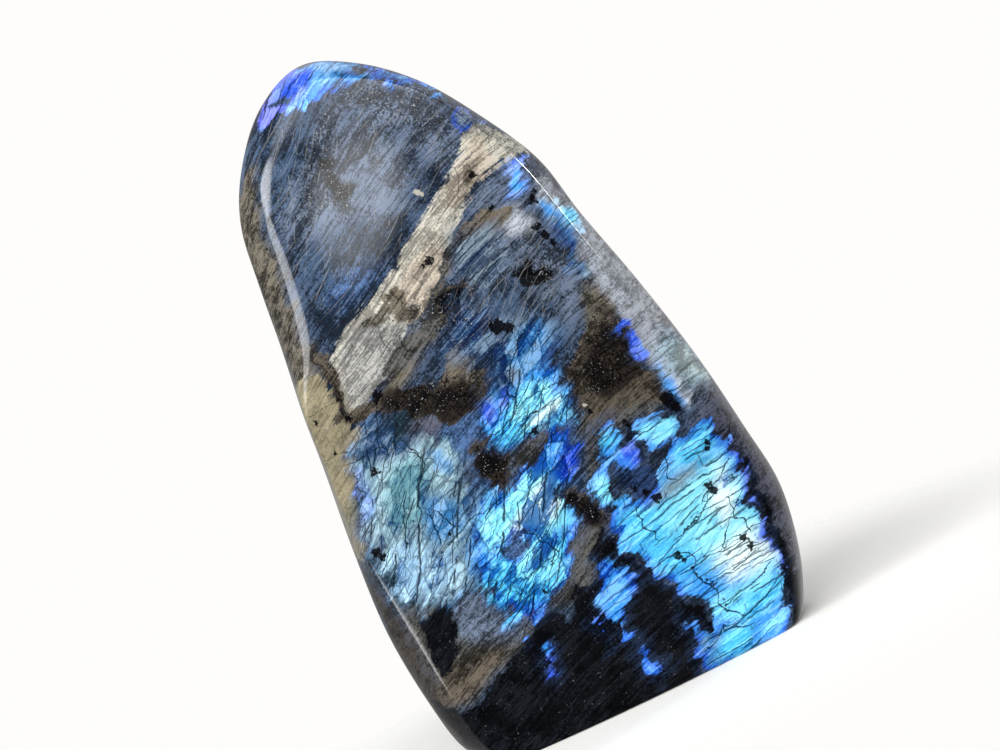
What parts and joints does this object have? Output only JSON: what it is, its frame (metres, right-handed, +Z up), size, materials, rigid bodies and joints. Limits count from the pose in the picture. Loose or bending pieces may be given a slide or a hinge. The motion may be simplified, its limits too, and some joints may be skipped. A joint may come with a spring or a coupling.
{
  "type": "polished labradorite",
  "caption": "Free-standing piece of polished labradorite with a flat foot, domed faces, a ridge round its front and a rounded, leaning top.",
  "frame": {"origin": "middle of the stone's bounding box, on the plane of its flat foot", "axes": "+Z up from the flat foot to the rounded top, -Y out of the wide polished front, +X to the right seen from the front"},
  "size_m": [0.0696, 0.032, 0.1167],
  "materials": {
    "labradorite": "high polish; dark grey feldspar with bright blue, azure and violet flashes, fine dark cracks and black specks"
  },
  "bodies": {
    "root": {"polished_labradorite": "labradorite"}
  },
  "joints": []
}
